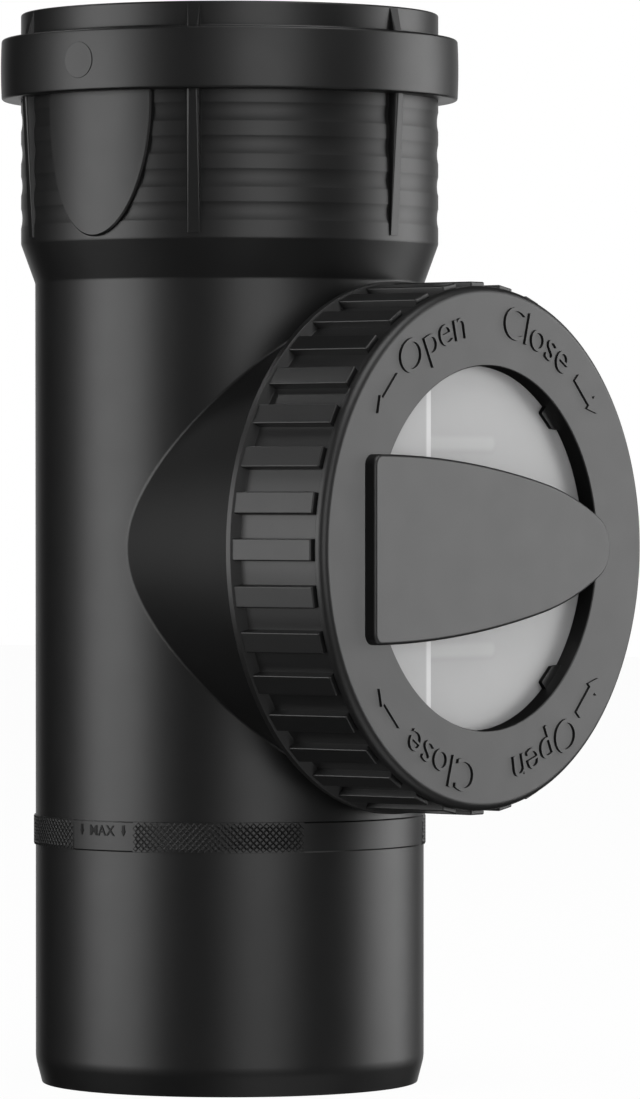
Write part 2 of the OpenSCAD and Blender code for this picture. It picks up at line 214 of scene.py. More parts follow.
def mouldedGroup():
    # what moulding leaves on a plastic skin: a fine grain, faint flow clouds and duller patches
    tree, make, given, out = newGroup(
        "moulded skin",
        [("Color", "Color", (0.01, 0.01, 0.01, 1)), ("Clouding", "Float", 0.1), ("Roughness", "Float", 0.4),
         ("Dulling", "Float", 0.04), ("Grain Size", "Float", 0.0004), ("Grain Height", "Float", 0.00001)],
        [("Color", "Color"), ("Roughness", "Float"), ("Normal", "Vector")])
    where = make("ShaderNodeTexCoord").outputs["Object"]
    flow = make("ShaderNodeMapping", {"Vector": where,
                                      "Scale": (1, 1, skinPattern["cloudStretch"])}).outputs[0]
    clouds = make("ShaderNodeTexNoise", {"Vector": flow, "Scale": skinPattern["cloudScale"],
                                         "Detail": skinPattern["cloudDetail"],
                                         "Roughness": skinPattern["cloudRough"]})
    lighter = make("ShaderNodeMath", {0: clouds.outputs["Fac"], 1: given["Clouding"]}, operation="MULTIPLY")
    value = make("ShaderNodeMath", {0: lighter.outputs[0], 1: 1.0}, operation="ADD")
    tinted = make("ShaderNodeVectorMath", {0: given["Color"], "Scale": value.outputs[0]}, operation="SCALE")
    patches = make("ShaderNodeTexNoise", {"Vector": where, "Scale": skinPattern["patchScale"],
                                          "Detail": skinPattern["patchDetail"]})
    centred = make("ShaderNodeMath", {0: patches.outputs["Fac"], 1: 0.5}, operation="SUBTRACT")
    rough = make("ShaderNodeMath", {0: centred.outputs[0], 1: given["Dulling"], 2: given["Roughness"]},
                 operation="MULTIPLY_ADD")
    perMetre = make("ShaderNodeMath", {0: 1.0, 1: given["Grain Size"]}, operation="DIVIDE")
    grain = make("ShaderNodeTexNoise", {"Vector": where, "Scale": perMetre.outputs[0],
                                        "Detail": skinPattern["grainDetail"]})
    bump = make("ShaderNodeBump", {"Height": grain.outputs["Fac"], "Distance": given["Grain Height"],
                                   "Strength": 1.0})
    tree.links.new(tinted.outputs[0], out["Color"])
    tree.links.new(rough.outputs[0], out["Roughness"])
    tree.links.new(bump.outputs[0], out["Normal"])
    return tree


def bandGroup():
    # a mask that is 1 between two values of a coordinate, with a soft run-in on each side
    tree, make, given, out = newGroup(
        "soft band", [(title, "Float") for title in ("Value", "From", "To", "Soft Start", "Soft End")],
        [("Mask", "Float")])
    before = make("ShaderNodeMath", {0: given["From"], 1: given["Soft Start"]}, operation="SUBTRACT")
    after = make("ShaderNodeMath", {0: given["To"], 1: given["Soft End"]}, operation="ADD")
    rise = make("ShaderNodeMapRange", {"Value": given["Value"], "From Min": before.outputs[0],
                                       "From Max": given["From"]}, interpolation_type="SMOOTHSTEP")
    fall = make("ShaderNodeMapRange", {"Value": given["Value"], "From Min": given["To"],
                                       "From Max": after.outputs[0], "To Min": 1, "To Max": 0},
                interpolation_type="SMOOTHSTEP")
    both = make("ShaderNodeMath", {0: rise.outputs[0], 1: fall.outputs[0]}, operation="MULTIPLY")
    tree.links.new(both.outputs[0], out["Mask"])
    return tree


mouldedSkin, softBand = mouldedGroup(), bandGroup()


def newMaterial(name):
    material = bpy.data.materials.new(name)
    material.use_nodes = True
    shader = material.node_tree.nodes["Principled BSDF"]
    return material, shader, nodeMaker(material.node_tree), material.node_tree.links


blackPlastic = dict(color=0.002, clouding=0.35, roughness=0.41, dulling=0.05, grain=0.45, grainHeight=0.006,
                    specular=0.62)
markPlastic = dict(blackPlastic, specular=0.2)  # the depth mark is matt and reads darker than the band
capPlastic = dict(color=0.003, clouding=0.25, roughness=0.45, dulling=0.05, grain=0.35, grainHeight=0.008,
                  specular=0.7)
sealRubber = dict(color=0.006, clouding=0.5, roughness=0.6, dulling=0.1, grain=0.25, grainHeight=0.012,
                  specular=0.45)


def wearSkin(shader, skin, links):
    for output, socket in (("Color", "Base Color"), ("Roughness", "Roughness"), ("Normal", "Normal")):
        links.new(skin.outputs[output], shader.inputs[socket])


def mouldedMaterial(name, look):
    material, shader, make, links = newMaterial(name)
    shade = look["color"]
    skin = make("ShaderNodeGroup", node_tree=mouldedSkin)
    for title, value in (("Color", (shade, shade, shade * 1.02, 1)), ("Clouding", look["clouding"]),
                         ("Roughness", look["roughness"]), ("Dulling", look["dulling"]),
                         ("Grain Size", look["grain"] * mm), ("Grain Height", look["grainHeight"] * mm)):
        skin.inputs[title].default_value = value
    wearSkin(shader, skin, links)
    shader.inputs["Specular IOR Level"].default_value = look["specular"]
    return material


bodyBlack = mouldedMaterial("black pipe plastic", blackPlastic)
markBlack = mouldedMaterial("matt black mark plastic", markPlastic)
capBlack = mouldedMaterial("black cap plastic", capPlastic)
blackRubber = mouldedMaterial("seal rubber", sealRubber)
print("materials made")


# pipe body

pipe = dict(
    spigotR=mounts["spigot"]["dims"]["r_mm"], boreR=51.6, boreEdge=0.6, draft=0.1,
    chamferHigh=6.9, chamferIn=1.8, chamferRound=12, endRound=0.35,
    bandZ=67.4, bandHigh=8.1, bandProud=0.25, bandEdge=0.4, bandRound=0.06, coneHigh=11, coneRound=2.5,
    socketR=mounts["socket"]["dims"]["r_mm"], socketWall=3.6, socketDeep=65, seatHigh=6, mouthLead=1.3,
    throatRound=1, seatRound=0.8, grooveRound=0.3, grooveLip=0.2,
    lipHigh=7.2, lipRound=0.9, rimRound=0.6, ringHigh=17.1, ringR=64.8, ringBulge=0.2, ringEdge=0.8,
    grooveR=60.6, grooveHigh=9.4, hollows=4, hollowTop=6.05, hollowPitch=9.1, hollowWide=5.5, hollowDeep=0.36,
    ribs=6, ribWide=3.4, ribDraft=0.1, ribEdge=1.0, ribGap=1.3,
    ribFootRise=0.4, ribRise=2.6, ribTipRise=2.15, ribEndRise=0.1,
    tongueAngle=17.8, tongueTurn=0.7, tongueLong=40, tongueProud=1.2, tongueEdge=0.45, tongueStraight=2.5,
    markR=5, markProud=0.05, markTurn=-0.6, markEdge=0.12,
)
socketOut = pipe["socketR"] + pipe["socketWall"]
seatZ = bodyTop - pipe["socketDeep"]
ringTop = bodyTop - pipe["lipHigh"]
ringFoot = ringTop - pipe["ringHigh"]
ringMid = (ringTop + ringFoot) / 2


def hollowedWall(steps=16):
    # the socket wall from the cone up to the ring, with its ripples
    wall = []
    for i in reversed(range(pipe["hollows"])):
        middle = ringFoot - pipe["hollowTop"] - i * pipe["hollowPitch"]
        for k in range(steps + 1):
            t = k / steps
            depth = pipe["hollowDeep"] * (1 - (2 * t - 1) ** 2)
            wall.append((socketOut - depth, middle + (t - 0.5) * pipe["hollowWide"]))
    return wall


def ringSide(steps=10):
    # the seal chamber's outside, which bulges a little in the middle
    edge, half = pipe["ringEdge"], pipe["ringHigh"] / 2
    return [(pipe["ringR"] - pipe["ringBulge"] * t * t, ringMid + t * (half - edge))
            for t in [-1 + 2 * i / steps for i in range(steps + 1)]]


def pipeShell():
    r, band = pipe["spigotR"], pipe["bandProud"]
    bandTop = pipe["bandZ"] + pipe["bandHigh"]
    flank = pipe["ringR"] - pipe["ringBulge"]
    edge = pipe["ringEdge"]
    low = rounded([
        (0, 0), (r - pipe["chamferIn"], 0, pipe["endRound"]), (r, pipe["chamferHigh"], pipe["chamferRound"]),
        (r, pipe["bandZ"]), (r + band, pipe["bandZ"] + pipe["bandEdge"], pipe["bandRound"]),
        (r + band + pipe["draft"], bandTop, pipe["bandRound"]), (r, bandTop + pipe["bandEdge"]),
        (r + pipe["draft"], seatZ - pipe["coneHigh"], pipe["coneRound"]),
        (socketOut, seatZ, pipe["coneRound"]), (socketOut, ringFoot - 1)])[:-1]
    ring = arcPoints(flank - edge, ringFoot + edge, edge, -pi / 2, 0, 6)[:-1] + ringSide()
    ring += arcPoints(flank - edge, ringTop - edge, edge, 0, pi / 2, 6)[1:]
    lip = rounded([(flank - edge, ringTop), (socketOut, ringTop, pipe["lipRound"]),
                   (socketOut, bodyTop, pipe["rimRound"]), (0, bodyTop)])[1:]
    return lathe("pipeBody", low + hollowedWall() + [(socketOut, ringFoot)] + ring + lip, upright)


def pipeHollow():
    r, bore, edge, lead = pipe["socketR"], pipe["boreR"], pipe["boreEdge"], pipe["mouthLead"]
    groove, low, high = pipe["grooveR"], ringMid - pipe["grooveHigh"] / 2, ringMid + pipe["grooveHigh"] / 2
    deep, lip = pipe["grooveRound"], pipe["grooveLip"]
    return lathe("inside", rounded([
        (0, -1), (bore + edge, -1), (bore + edge, 0), (bore, edge),
        (bore, seatZ - pipe["seatHigh"], pipe["throatRound"]), (r, seatZ, pipe["seatRound"]), (r, low, lip),
        (groove, low, deep), (groove, high, deep), (r, high, lip), (r, bodyTop - 2 * lead, pipe["seatRound"]),
        (r + lead, bodyTop), (r + lead, bodyTop + 1), (0, bodyTop + 1)]), upright)


def rib(angle, footZ, footRise, headZ, headRise, sunk=1.0):
    rings = []
    for height, rise in ((footZ, footRise), (headZ, headRise)):
        front = pipe["ribWide"] / 2
        back = front + pipe["ribDraft"] * (rise + sunk)
        edge = min(pipe["ribEdge"], 0.4 * rise)
        section = rounded([(-sunk, -back), (rise, -front, edge), (rise, front, edge), (-sunk, back)])
        rings.append([(socketOut + x, y, height) for x, y in section])
    return loft("rib", rings, upright @ Matrix.Rotation(angle, 4, "Z"))


def allRibs():
    # each runs from the cone up under the ring and falls back above it to the rim
    made, gap, end = [], pipe["ribGap"], bodyTop - pipe["rimRound"]
    for i in range(pipe["ribs"]):
        angle = -pi / 2 + 2 * pi * i / pipe["ribs"]
        made.append(rib(angle, seatZ + gap, pipe["ribFootRise"], ringFoot + gap, pipe["ribRise"]))
        made.append(rib(angle, ringTop - gap, pipe["ribTipRise"], end, pipe["ribEndRise"]))
    return joined("ribs", made)


def tongue():
    # a half ellipse of wall that hangs from the ring on the -X side, in rows from the ring down
    halfAngle, drop, edge = radians(pipe["tongueAngle"]), pipe["tongueLong"], pipe["tongueEdge"]
    rows, columns, straight = 36, 24, pipe["tongueStraight"]

    def row(a, inset, radius):
        wide = socketOut * halfAngle - inset
        height = ringFoot - straight - (drop - straight - inset) * sin(a)
        reach = wide * cos(a) / socketOut
        return [(-radius * cos(reach * t), radius * sin(reach * t), height)
                for t in [1 - 2 * i / columns for i in range(columns + 1)]]

    top = ringFoot + 1
    angles = [0.5 * pi * i / rows for i in range(rows)] + [0.497 * pi]  # the last row keeps a little width
    outer, inner = socketOut + pipe["tongueProud"], socketOut - 1
    front = [[(x, y, top) for x, y, _ in row(0, edge, outer)]] + [row(a, edge, outer) for a in angles]
    rim = [[(x, y, top) for x, y, _ in row(0, 0, outer - edge)]] + [row(a, 0, outer - edge) for a in angles]
    back = [[(x, y, top) for x, y, _ in row(0, 0, inner)]] + [row(a, 0, inner) for a in angles]
    points, faces, starts = [], [], []
    for sheet in (front, rim, back):
        starts.append(len(points))
        points += [p for line in sheet for p in line]
    across, down = columns + 1, len(front)
    for sheet in (0, 2):
        for j in range(down - 1):
            for i in range(columns):
                a = starts[sheet] + j * across + i
                faces.append([a, a + 1, a + across + 1, a + across])
    border = ([j * across for j in range(down)] + [(down - 1) * across + i for i in range(1, across)]
              + [j * across + columns for j in reversed(range(down - 1))]
              + [i for i in reversed(range(1, columns))])
    for low, high in ((0, 1), (1, 2)):
        for k, here in enumerate(border):
            after = border[(k + 1) % len(border)]
            faces.append([starts[low] + here, starts[low] + after, starts[high] + after, starts[high] + here])
    place = upright @ Matrix.Rotation(radians(pipe["tongueTurn"]), 4, "Z")
    return solid("tongue", points, faces, place)


def ringMark():
    # a bare round field on the ring, hardly raised
    reach, foot, r = pipe["ringR"] + pipe["markProud"], pipe["grooveR"] + 1, pipe["markR"]
    outline = rounded([(0, foot), (r, foot), (r, reach, pipe["markEdge"]), (0, reach)])
    place = (upright @ Matrix.Rotation(radians(pipe["markTurn"]), 4, "Z")
             @ Matrix.Translation((0, 0, ringMid)) @ Matrix.Rotation(-pi / 2, 4, "Y"))
    return lathe("mark", outline, place, steps=72)


branch = dict(startR=52.3, spread=0.2605, shoulder=58.7, collarR=66.8, collarBore=62.4, rim=84.1, wall=4.2,
              shoulderRound=0.7, rimRound=0.8, crotchRound=1.7, crotchReach=0.7, crotchSunk=0.008)
thread = dict(pitch=6, turnSteps=40, foot=3, crest=1.4, tall=1.8, sunk=0.3, endDepth=0.3, runOut=8,
              collarFrom=62.0, collarTo=80.7)


def coneR(h):
    return branch["startR"] + branch["spread"] * h


def neckAndCollar():
    return lathe("neck", rounded([
        (0, 0), (coneR(0), 0), (coneR(branch["shoulder"]), branch["shoulder"], branch["shoulderRound"]),
        (branch["collarR"], branch["shoulder"]), (branch["collarR"], branch["rim"], branch["rimRound"]),
        (0, branch["rim"])]), onBranch)


def branchHollow():
    start, bore, end = branch["startR"] - branch["wall"], branch["collarBore"], branch["rim"] + 1
    return lathe("branch hollow", [(0, 0), (start, 0), (bore, (bore - start) / branch["spread"]), (bore, end),
                                   (0, end)], onBranch)


def threadRidge(root, crest, start, end):
    # one right-handed ridge, lower at both ends; it stands inwards where the crest is less than the root
    steps = int(thread["turnSteps"] * (end - start) / thread["pitch"])
    foot, flat, rings = thread["foot"], thread["crest"], []
    for i in range(steps + 1):
        turns = i / thread["turnSteps"]
        angle, height = 2 * pi * turns, start + thread["pitch"] * turns
        depth = min(1, thread["endDepth"] + min(i, steps - i) / thread["runOut"])
        tip = root + (crest - root) * depth
        section = [(root, -foot), (tip, -flat), (tip, flat), (root, foot)]
        rings.append([(r * cos(angle), r * sin(angle), height + h / 2) for r, h in section])
    return loft("thread", rings, onBranch)


def barrelR(z):
    # the pipe between the band and the cone, which widens a little upwards
    low, high = pipe["bandZ"] + pipe["bandHigh"], seatZ - pipe["coneHigh"]
    return pipe["spigotR"] + pipe["draft"] * (z - low) / (high - low)


def meetingPoint(angle, rounds=4):
    # where the cone and the pipe meet at that angle round the branch, from the middle of the branch
    k, c, h = branch["spread"], cos(angle) ** 2, 0
    for _ in range(rounds):
        pipeR = barrelR(branchZ + coneR(h) * sin(angle))
        qa, qb, qc = c * k * k + 1, 2 * branch["startR"] * k * c, branch["startR"] ** 2 * c - pipeR ** 2
        h = (-qb + sqrt(qb * qb - 4 * qa * qc)) / (2 * qa)
    return Vector((coneR(h) * cos(angle), -h, coneR(h) * sin(angle)))


def crotchFillet(steps=288, bends=8, buried=0.6):
    # a small round where the neck leaves the pipe, swept along the line where the two surfaces meet
    rings = []
    for i in range(steps):
        a = 2 * pi * i / steps
        meet = meetingPoint(a)
        pipeNormal = Vector((meet.x, meet.y, 0)).normalized()
        neckNormal = Vector((cos(a), branch["spread"], sin(a))).normalized()
        along = pipeNormal.cross(neckNormal).normalized()
        onPipe, onNeck = along.cross(pipeNormal), neckNormal.cross(along)
        if onPipe.dot(neckNormal) < 0:
            onPipe = -onPipe
        if onNeck.dot(pipeNormal) < 0:
            onNeck = -onNeck
        opening, middle = onPipe.angle(onNeck), (onPipe + onNeck).normalized()
        first, last = -pipeNormal, -neckNormal
        sweep = first.angle(last)
        radius = max(branch["crotchRound"] * (sweep / pi), branch["crotchReach"] / tan(sweep / 2))
        centre = meet + middle * radius / sin(opening / 2)
        section = [meet - middle * buried]
        for t in [n / bends for n in range(bends + 1)]:
            way = (first * sin((1 - t) * sweep) + last * sin(t * sweep)) / sin(sweep)
            section.append(centre + way * (radius + branch["crotchSunk"]))
        rings.append([p + Vector((0, 0, branchZ)) for p in section])
    return loft("crotch fillet", rings, upright, closed=True)


pipeBody = pipeShell()
for addition in (allRibs(), tongue(), ringMark(), neckAndCollar(), crotchFillet()):
    combine(pipeBody, addition, "UNION")
combine(pipeBody, threadRidge(branch["collarR"] - thread["sunk"], branch["collarR"] + thread["tall"],
                              thread["collarFrom"], thread["collarTo"]), "UNION")
combine(pipeBody, pipeHollow(), "DIFFERENCE")
combine(pipeBody, branchHollow(), "DIFFERENCE")
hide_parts("fitting_body")
finished(pipeBody, "fitting", bodyBlack, sharpAngle=20)


# knurled part of the insertion band

knurl = dict(pitch=1.85, halfRows=9, top=0.58, proud=0.02, tall=0.16, sunk=0.4, past=0.1,
             textNear=10.6, textFar=12.3, frontGap=28.6)  # the last three in degrees


def knurlStrip(name, fromAngle, toAngle):
    # flat-topped pyramids round the even points of a net, their feet at the odd points beside them
    r = pipe["spigotR"] + pipe["bandProud"] + pipe["draft"] + knurl["proud"]
    span, high = radians(toAngle - fromAngle), knurl["halfRows"]
    count = 2 * round(span * r / knurl["pitch"])
    foot, stripHigh = pipe["bandZ"] + knurl["past"], pipe["bandHigh"] + 2 * knurl["past"]
    points, faces = [], []

    def spot(i, j, radius):
        angle = radians(fromAngle) + span * i / count
        points.append((radius * cos(angle), radius * sin(angle), foot + stripHigh * j / high))
        return len(points) - 1

    net = [[spot(i, j, r) for j in range(high + 1)] for i in range(count + 1)]
    for i, j in [(i, j) for i in range(count + 1) for j in range(high + 1) if (i + j) % 2 == 0]:
        around = [(max(i - 1, 0), j), (i, max(j - 1, 0)), (min(i + 1, count), j), (i, min(j + 1, high))]
        feet = [net[a][b] for a, b in around]
        if net[i][j] in feet:  # at the strip's edge half a net cell stays flat
            faces.append(list(dict.fromkeys(feet)))
            continue
        share = knurl["top"]
        tops = [spot(i + (a - i) * share, j + (b - j) * share, r + knurl["tall"]) for a, b in around]
        faces.append(tops)
        faces += [[feet[k - 1], feet[k], tops[k], tops[k - 1]] for k in range(4)]
    low = [[spot(i, j, r - knurl["sunk"]) for j in (0, high)] for i in range(count + 1)]
    for i in range(count):
        faces.append([low[i][0], low[i][1], low[i + 1][1], low[i + 1][0]])
        faces.append([low[i][0], low[i + 1][0], net[i + 1][0], net[i][0]])
        faces.append([low[i + 1][1], low[i][1], net[i][high], net[i + 1][high]])
    for i in (0, count):
        faces.append([low[i][0], *net[i], low[i][1]])
    return solid(name, points, faces, upright)


bandKnurl = joined("bandKnurl", [
    knurlStrip("near", 180 + knurl["textNear"], 270 - knurl["frontGap"]),
    knurlStrip("far", -90 + knurl["frontGap"], 180 - knurl["textFar"])])
finished(bandKnurl, "fitting", bodyBlack, sharpAngle=10)


# cap ring

cap = dict(
    back=59.5, front=92.2, faceBack=87.1, web=3.2, skirtR=71.2, rimR=72.2, rimLong=3.1, faceRound=2.5,
    rootR=69.4, crestR=67.6, seatR=68.7, ledgeTop=83.8, ledgeFoot=82.6, lead=0.8,
    flangeR=74.0, flangeThick=1.85, flangeSlope=1.5, windowR=50.2, windowRim=3.4,
    fineRound=0.2, edgeRound=0.4, pads=36, padWide=6.0, padR=73.4, padBack=3.6, padEdge=0.4, padRound=0.45,
    padSunk=1.2, padFootSunk=0.5, lugRoot=(39.7, 51.5), lugTip=(44.0, 51.8), lugTipR=47.7, lugThick=1.2,
    lugRamp=0.3, lugRound=0.6,  # lugRoot and lugTip are angles
)
bar = dict(left=54.5, tip=56.5, half=25.7, tipR=9.5, tipTurn=62, bendR=100, corner=3.1, foot=87.6, high=95.8,
           low=92.5, wall=2.8, edge=1.0)


def capSection():
    flangeTop, rimFoot = cap["back"] + cap["flangeThick"], cap["front"] - cap["rimLong"]
    rimInner, webBack = cap["windowR"] + cap["windowRim"], cap["front"] - cap["web"]
    hollowR, fine, edge = cap["crestR"] - 1, cap["fineRound"], cap["edgeRound"]
    return rounded([
        (cap["rootR"] + cap["lead"], cap["back"]), (cap["flangeR"], cap["back"], edge),
        (cap["flangeR"], flangeTop, fine), (cap["skirtR"], flangeTop + cap["flangeSlope"], fine),
        (cap["skirtR"], rimFoot - edge, fine / 2), (cap["rimR"], rimFoot, fine),
        (cap["rimR"], cap["front"], cap["faceRound"]), (cap["windowR"], cap["front"], edge),
        (cap["windowR"], cap["faceBack"], fine), (rimInner, cap["faceBack"]), (rimInner, webBack),
        (hollowR, webBack), (hollowR, cap["faceBack"]), (cap["seatR"], cap["faceBack"]),
        (cap["seatR"], cap["ledgeTop"]), (cap["crestR"], cap["ledgeTop"]), (cap["crestR"], cap["ledgeFoot"]),
        (cap["rootR"], cap["ledgeFoot"]), (cap["rootR"], cap["back"] + 1.5 * cap["lead"])],
        steps=8, share=0.75)


def gripPad():
    # side outlines from one flank to the other, smaller at the flanks so that the long edges are round
    half, edge, steps = cap["padWide"] / 2, cap["padEdge"], 4
    foot, head = cap["back"] + cap["flangeThick"] - cap["padFootSunk"], cap["front"] - cap["padBack"]
    inside = cap["skirtR"] - cap["padSunk"]
    bends = [0.5 * pi * i / steps for i in range(steps + 1)]
    flanks = [(half - edge * (1 - cos(a)), edge * (1 - sin(a))) for a in bends]
    rings = []
    for y, inset in flanks + [(-y, inset) for y, inset in reversed(flanks)]:
        outside = cap["padR"] - inset
        outline = rounded([(foot, inside), (foot, outside), (head - inset, outside, cap["padRound"] - inset),
                           (head - inset, inside)])
        rings.append([(r, y, h) for h, r in outline])
    return rings


def gripPads():
    rings, turns = gripPad(), [2 * pi * i / cap["pads"] for i in range(cap["pads"])]
    return joined("pads", [loft("pad", rings, onBranch @ Matrix.Rotation(turn, 4, "Z")) for turn in turns])


def barOutline(inset):
    # a long arc, a bend and the tip's arc, which meet without a kink
    arcX, tipX, turn = bar["corner"] - bar["left"], bar["tip"] - bar["tipR"], radians(bar["tipTurn"])
    bendX = tipX - (bar["bendR"] - bar["tipR"]) * cos(turn)
    bendY = -(bar["bendR"] - bar["tipR"]) * sin(turn)
    rise = bar["half"] - bendY
    arcR = ((bendX - arcX) ** 2 + rise ** 2 - bar["bendR"] ** 2) / (2 * (rise - bar["bendR"]))
    arcY = bar["half"] - arcR
    meet = atan2(bendY - arcY, bendX - arcX)
    corner = max(0.4, bar["corner"] - inset)
    cornerX = inset + corner - bar["left"]
    end = acos((cornerX - arcX) / (arcR - inset))
    cornerY = arcY + (arcR - inset) * sin(end) - corner
    top = (arcPoints(tipX, 0, bar["tipR"] - inset, 0, turn, 12)
           + arcPoints(bendX, bendY, bar["bendR"] - inset, turn, meet, 8)[1:]
           + arcPoints(arcX, arcY, arcR - inset, meet, end, 14)[1:]
           + arcPoints(cornerX, cornerY, corner, pi / 2, pi, 8)[1:])
    return top + [(x, -y) for x, y in reversed(top[1:])]


def barTop(x):
    # the bar's top falls in a straight line from its square end to its tip
    return bar["high"] + (bar["low"] - bar["high"]) * (x + bar["left"]) / (bar["left"] + bar["tip"])


def gripBar():
    edge, steps = bar["edge"], 6
    rings = [[(x, y, bar["foot"]) for x, y in barOutline(0)]]
    for i in range(steps + 1):
        a = 0.5 * pi * i / steps
        rings.append([(x, y, barTop(x) - edge * (1 - sin(a))) for x, y in barOutline(edge * (1 - cos(a)))])
    made = loft("gripBar", rings, onBranch)
    inner, reach, below = barOutline(bar["wall"]), cap["windowR"] - bar["wall"], bar["foot"] - 2
    hollow = loft("bar hollow", [[(x, y, bar["foot"] - 1) for x, y in inner],
                                 [(x, y, barTop(x) - bar["wall"]) for x, y in inner]], onBranch)
    limit = lathe("limit", [(0, below), (reach, below), (reach, bar["high"]), (0, bar["high"])], onBranch,
                  steps=144)
    combine(hollow, limit, "INTERSECT")
    combine(made, hollow, "DIFFERENCE")
    return made


def windowLugs():
    # four lugs, mirrored about the bar, each with a cut corner towards it
    root, tip, foot = cap["windowR"] + 1, cap["lugTipR"], cap["faceBack"] + 0.1
    (rootLow, rootHigh), (tipLow, tipHigh) = cap["lugRoot"], cap["lugTip"]
    corners = [(root, rootLow), (tip, tipLow), (tip, tipHigh), (root, rootHigh)]
    slope, made = cap["lugRamp"] / (root - tip), []
    for across in (-1, 1):
        for up in (-1, 1):
            outline = rounded([(across * r * cos(radians(a)), up * r * sin(radians(a)), cap["lugRound"])
                               for r, a in corners])
            head = [foot + cap["lugThick"] + slope * (Vector(p).length - tip) for p in outline]
            rings = [[(x, y, foot) for x, y in outline], [(x, y, h) for (x, y), h in zip(outline, head)]]
            made.append(loft("lug", rings, onBranch))
    return joined("lugs", made)


capRing = lathe("capRing", capSection(), onBranch, steps=360)
capThread = threadRidge(cap["rootR"] + thread["sunk"], cap["crestR"],
                        thread["collarFrom"] + thread["pitch"] / 2, cap["ledgeFoot"] - thread["foot"] / 2)
for addition in (gripPads(), windowLugs(), capThread):
    combine(capRing, addition, "UNION")
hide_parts("cap_ring")
finished(capRing, "cap", capBlack)
capBar = finished(gripBar(), "cap", capBlack)


# raised words and arrows

marks = dict(raised=0.9, sunk=0.3, size=13.3, tracking=0.985, thin=0.11, baseR=58.5, openMid=114.1,
             closeMid=69.5, arrowR=61.5, openArrow=137.2, closeArrow=43.7, arrowLong=13.8, shaftWide=2.5,
             headLong=4.3, headWide=5.1)


def flatWord(text, size, tracking, thin):
    # one thick word in the built-in face, its middle at x 0 and its foot at y 0, in millimetres
    curve = bpy.data.curves.new("word", "FONT")
    curve.body, curve.align_x, curve.space_character = text, "CENTER", tracking
    curve.resolution_u = 6
    curve.size = size
    curve.extrude = (marks["raised"] + marks["sunk"]) / 2
    curve.offset = -thin
    word = linked("word", curve)
    bpy.context.view_layer.update()
    mesh = bpy.data.meshes.new_from_object(word.evaluated_get(bpy.context.evaluated_depsgraph_get()))
    bpy.data.objects.remove(word)
    return mesh


def facePoint(angle, radius, height):
    return onBranch @ Vector((radius * cos(angle), radius * sin(angle), height))


def wordOnFace(text, middle):
    mesh = flatWord(text, marks["size"], marks["tracking"], marks["thin"])
    centre = cap["front"] + (marks["raised"] - marks["sunk"]) / 2
    for point in mesh.vertices:
        x, y, z = point.co
        point.co = facePoint(radians(middle) - x / marks["baseR"], marks["baseR"] + y, centre + z)
    return linked("word", mesh)


def arrowOnFace(middle, way):
    # a straight arrow square to the radius; way is 1 where it points anticlockwise
    half, head, wide = marks["arrowLong"] / 2, marks["headLong"], marks["headWide"] / 2
    shaft = marks["shaftWide"] / 2
    outline = [(-half, -shaft), (half - head, -shaft), (half - head, -wide), (half, 0),
               (half - head, wide), (half - head, shaft), (-half, shaft)]
    place = (onBranch @ Matrix.Rotation(radians(middle), 4, "Z") @ Matrix.Translation((marks["arrowR"], 0, 0))
             @ Matrix.Rotation(way * pi / 2, 4, "Z"))
    return prism("arrow", outline, cap["front"] - marks["sunk"], cap["front"] + marks["raised"], place)


openCloseMarks = joined("openCloseMarks", [
    made for turn in (0, 180) for made in (
        wordOnFace("Open", marks["openMid"] + turn), wordOnFace("Close", marks["closeMid"] + turn),
        arrowOnFace(marks["openArrow"] + turn, 1), arrowOnFace(marks["closeArrow"] + turn, -1))])
finished(openCloseMarks, "cap", capBlack)
for piece in (capBar, openCloseMarks):
    piece.visible_glossy = False  # low walls on the face would otherwise mirror as broad dark borders


maxMark = dict(size=4.15, tracking=1.05, thin=-0.03, raised=0.2, sunk=0.2, footZ=71.8, aside=-0.4,
               arrowAt=7.6, arrowLong=3.0, shaftWide=0.8, headLong=1.5, headWide=1.5)


def bendOnBand(mesh, aside):
    # bends a flat mark round the band's smooth field, which faces -X
    r = pipe["spigotR"] + pipe["bandProud"] + pipe["draft"] / 2
    for point in mesh.vertices:
        x, y, z = point.co
        angle = pi + (maxMark["aside"] + aside + x) / r
        reach = r + (maxMark["raised"] if z > 0 else -maxMark["sunk"])
        point.co = upright @ Vector((reach * cos(angle), reach * sin(angle), maxMark["footZ"] + y))


def depthMark():
    word = flatWord("MAX", maxMark["size"], maxMark["tracking"], maxMark["thin"])
    bendOnBand(word, 0)
    pieces = [linked("word", word)]
    long, head, wide, shaft = (maxMark[k] for k in ("arrowLong", "headLong", "headWide", "shaftWide"))
    outline = [(0, 0), (wide / 2, head), (shaft / 2, head), (shaft / 2, long), (-shaft / 2, long),
               (-shaft / 2, head), (-wide / 2, head)]
    for side in (-1, 1):
        arrow = prism("arrow", outline, 0, 1, Matrix.Identity(4))
        bendOnBand(arrow.data, side * maxMark["arrowAt"])
        pieces.append(arrow)
    return joined("depthMark", pieces)


finished(depthMark(), "fitting", markBlack)


# window plug

plug = dict(discR=68.3, discFront=87.0, rim=84.1, outerR=61.9, innerR=59.5, skirtFoot=68.1, footEdge=1,
            innerRound=0.5, discRound=0.3, fineRound=0.2, sealAt=75.5, grooveR=58.7, grooveHalf=2.05,
            stepR=56.3, stepWall=2.4, spineX=19.8, spineWide=1.9, levelZ=28.4, levelWide=4, levelLong=29.7,
            ribHigh=1)


